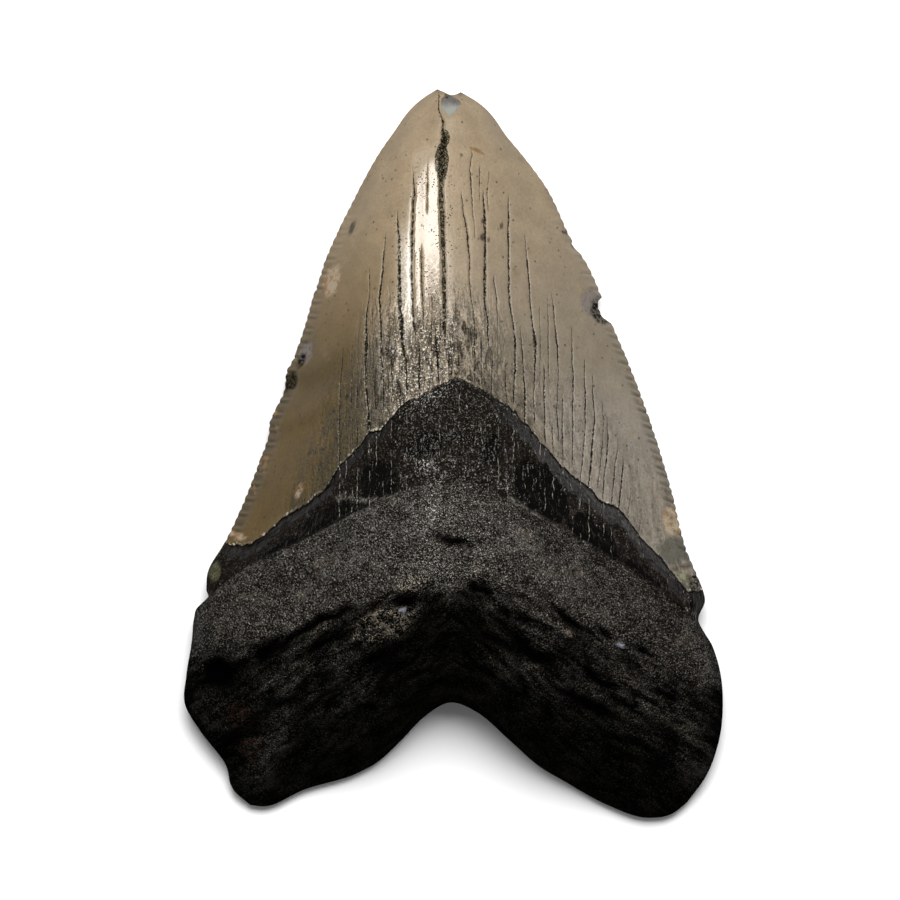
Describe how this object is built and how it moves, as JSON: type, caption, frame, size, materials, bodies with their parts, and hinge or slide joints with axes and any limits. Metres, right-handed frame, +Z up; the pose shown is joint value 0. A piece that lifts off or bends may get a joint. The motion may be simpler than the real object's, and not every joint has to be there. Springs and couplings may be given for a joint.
{
  "type": "megalodon tooth",
  "caption": "Fossil megalodon tooth with a serrated, pointed enamel crown, a dark neck band and a two-lobed root, lying on its flat face.",
  "frame": {"origin": "middle of the tooth's plan, on the surface that the tooth lies on", "axes": "+Y runs from the root to the tip of the crown, +Z points up through the bulging lingual face, +X points to the right-hand lobe as seen from above with the tip away from the viewer"},
  "size_m": [0.0754, 0.1022, 0.0238],
  "materials": {
    "tooth": "tan-grey enamel crown, satin to glossy, over a near-black, granular matt root"
  },
  "bodies": {
    "root": {"tooth": "tooth"}
  },
  "joints": []
}
